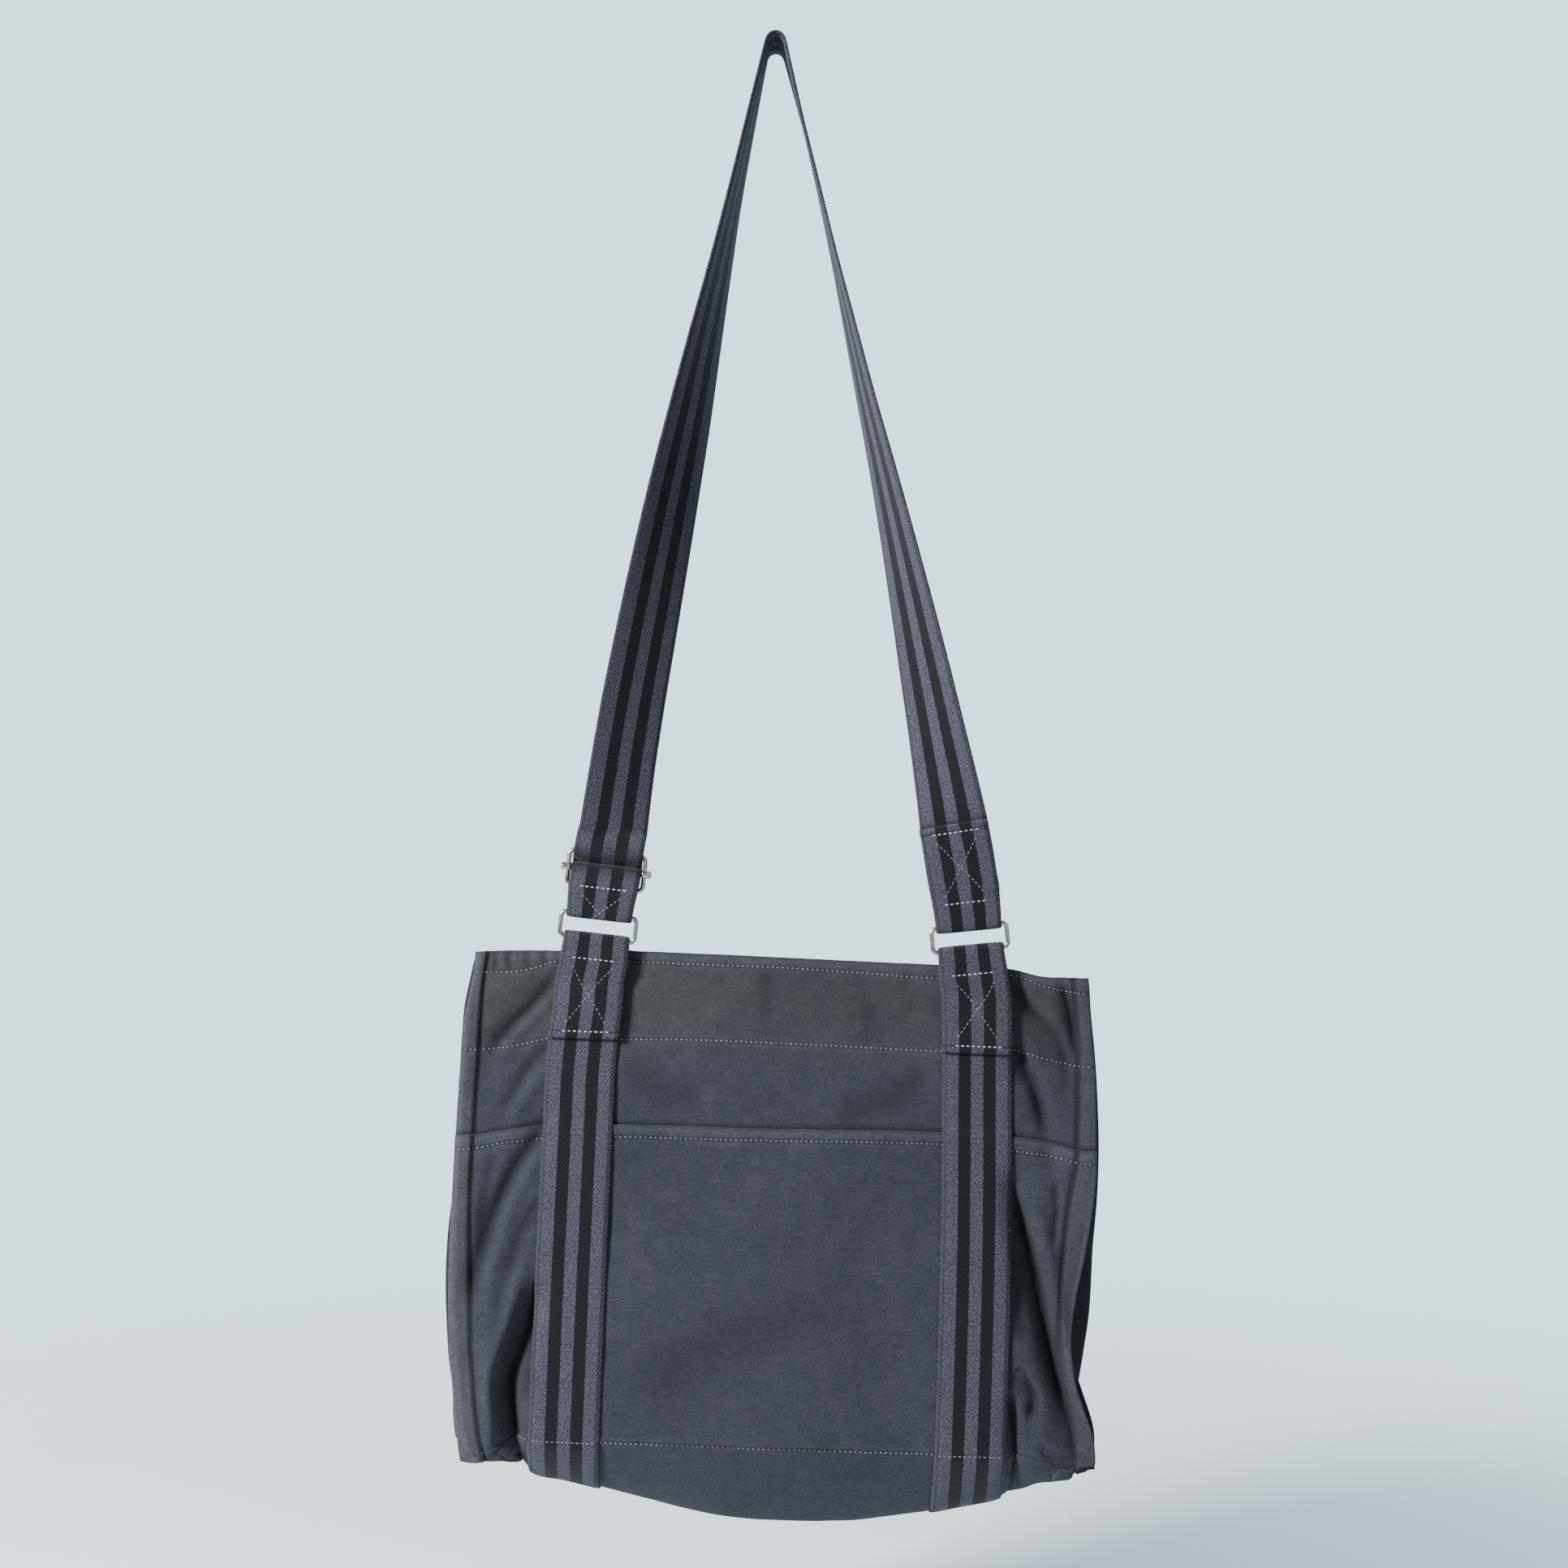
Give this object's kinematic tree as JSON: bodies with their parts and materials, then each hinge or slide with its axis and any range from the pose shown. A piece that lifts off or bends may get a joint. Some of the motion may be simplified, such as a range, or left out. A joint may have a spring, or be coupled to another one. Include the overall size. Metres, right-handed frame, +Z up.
{
  "type": "shoulder bag",
  "caption": "Empty canvas shoulder bag hanging by its striped webbing strap, with a flat front pocket, folded-in sides, a sagging base, wire rings and a strap slider.",
  "frame": {"origin": "hanging point: the underside of the strap's top, where it lies over a hook", "axes": "+X to the right as the front is seen, +Y from the front to the back, +Z up"},
  "size_m": [0.3661, 0.0718, 0.8181],
  "materials": {
    "canvas_front_panel": "washed canvas",
    "canvas_front_pocket": "washed canvas",
    "canvas_back_panel": "washed canvas",
    "canvas_gusset_left": "washed canvas",
    "canvas_gusset_right": "washed canvas",
    "canvas_base_panel": "washed canvas",
    "webbing_left": "striped woven webbing",
    "webbing_right": "striped woven webbing",
    "webbing_strap": "striped woven webbing",
    "steel_ring_left": "polished wire",
    "steel_ring_right": "polished wire",
    "steel_slider_frame": "polished wire",
    "steel_slider_bar": "polished wire"
  },
  "bodies": {
    "root": {"front_panel": "canvas_front_panel", "front_pocket": "canvas_front_pocket", "back_panel": "canvas_back_panel", "gusset_left": "canvas_gusset_left", "gusset_right": "canvas_gusset_right", "base_panel": "canvas_base_panel", "webbing_left": "webbing_left", "webbing_right": "webbing_right", "shoulder_strap": "webbing_strap", "ring_left": "steel_ring_left", "ring_right": "steel_ring_right", "slider_frame": "steel_slider_frame", "slider_bar": "steel_slider_bar"}
  },
  "joints": []
}
